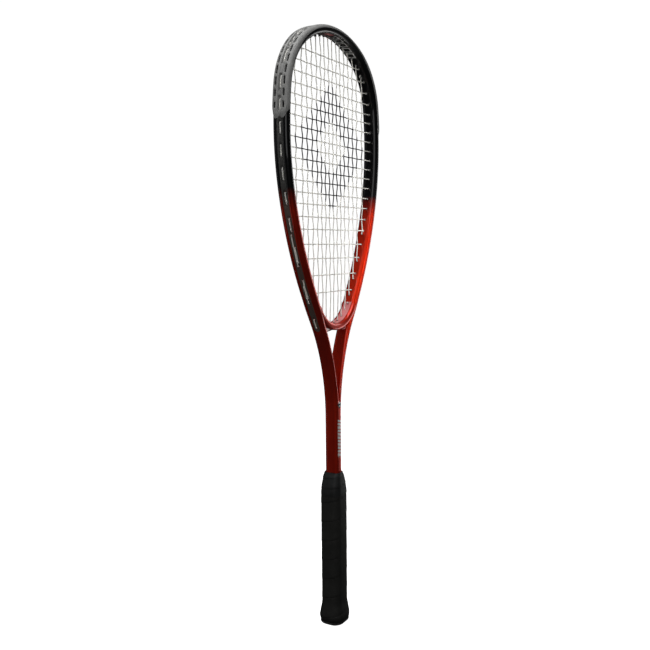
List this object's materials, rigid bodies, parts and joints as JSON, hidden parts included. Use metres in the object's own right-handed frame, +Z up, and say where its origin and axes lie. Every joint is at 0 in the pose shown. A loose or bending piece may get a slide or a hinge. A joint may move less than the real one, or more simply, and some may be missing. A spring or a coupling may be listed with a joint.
{
  "type": "squash racket",
  "caption": "Strung squash racket: one-piece hoop and shaft with a throat bridge, bumper guard, grommet strips, main and cross strings and a wrapped handle",
  "frame": {"origin": "centre of the butt's end face", "axes": "+Z runs up the shaft to the crown, X lies across the string face and Y goes through it"},
  "size_m": [0.208, 0.0296, 0.686],
  "materials": {
    "frame_paint": "clear-coated metallic red that fades to black above the middle of the hoop",
    "guard_plastic": "moulded satin grey",
    "strip_plastic": "moulded satin black",
    "string_filament": "pale multifilament",
    "pallet_foam": "moulded foam",
    "cap_rubber": "black",
    "staple_steel": "bright wire",
    "adhesive_film": "translucent film",
    "grip_cushion": "tacky black with wrap seams",
    "tape_vinyl": "smooth black"
  },
  "bodies": {
    "root": {"frame_tube": "frame_paint", "throat_bridge": "frame_paint", "bumper_guard": "guard_plastic", "grommet_strip_left": "strip_plastic", "grommet_strip_right": "strip_plastic", "bridge_grommet_strip": "strip_plastic", "main_string": "string_filament", "cross_string": "string_filament", "handle_pallet_left": "pallet_foam", "handle_pallet_right": "pallet_foam", "butt_cap": "cap_rubber", "butt_cap_staples": "staple_steel", "grip_adhesive_strip": "adhesive_film", "grip_tape": "grip_cushion", "grip_finishing_tape": "tape_vinyl"}
  },
  "joints": []
}
